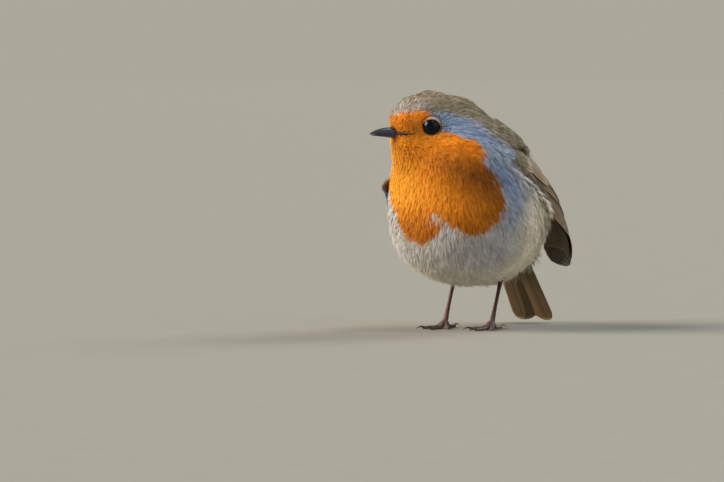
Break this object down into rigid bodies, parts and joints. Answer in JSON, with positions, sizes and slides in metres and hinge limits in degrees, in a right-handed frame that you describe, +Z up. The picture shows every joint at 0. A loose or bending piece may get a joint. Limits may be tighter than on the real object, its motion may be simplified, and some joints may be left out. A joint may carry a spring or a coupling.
{
  "type": "standing robin",
  "caption": "Life-size still model of a European robin standing on the floor, round-bodied, with its head turned to its right.",
  "frame": {"origin": "on the floor, under the middle of the whole bird's bounding box", "axes": "+Z up, +X to the bird's left, +Y towards its tail; the breast faces -Y"},
  "size_m": [0.0603, 0.0984, 0.0913],
  "materials": {
    "plumage_orange": "soft feathers",
    "plumage_brown": "soft feathers",
    "plumage_white": "soft feathers",
    "flight_feathers": "smooth feathers",
    "bill_horn": "satin horn",
    "eye": "wet gloss",
    "leg_skin": "scaled skin",
    "claw_horn": "satin horn"
  },
  "bodies": {
    "root": {"head": "plumage_orange", "neck": "plumage_orange", "trunk": "plumage_white", "rump": "plumage_brown", "eye_left": "eye", "eye_right": "eye", "upper_bill": "bill_horn", "lower_bill": "bill_horn", "wing_left": "flight_feathers", "wing_right": "flight_feathers", "tail": "flight_feathers", "thigh_left": "plumage_white", "thigh_right": "plumage_white", "shank_left": "leg_skin", "shank_right": "leg_skin", "foot_left": "leg_skin", "foot_right": "leg_skin", "hallux_claw_left": "claw_horn", "hallux_claw_right": "claw_horn", "inner_toe_claw_left": "claw_horn", "inner_toe_claw_right": "claw_horn", "middle_toe_claw_left": "claw_horn", "middle_toe_claw_right": "claw_horn", "outer_toe_claw_left": "claw_horn", "outer_toe_claw_right": "claw_horn"}
  },
  "joints": []
}
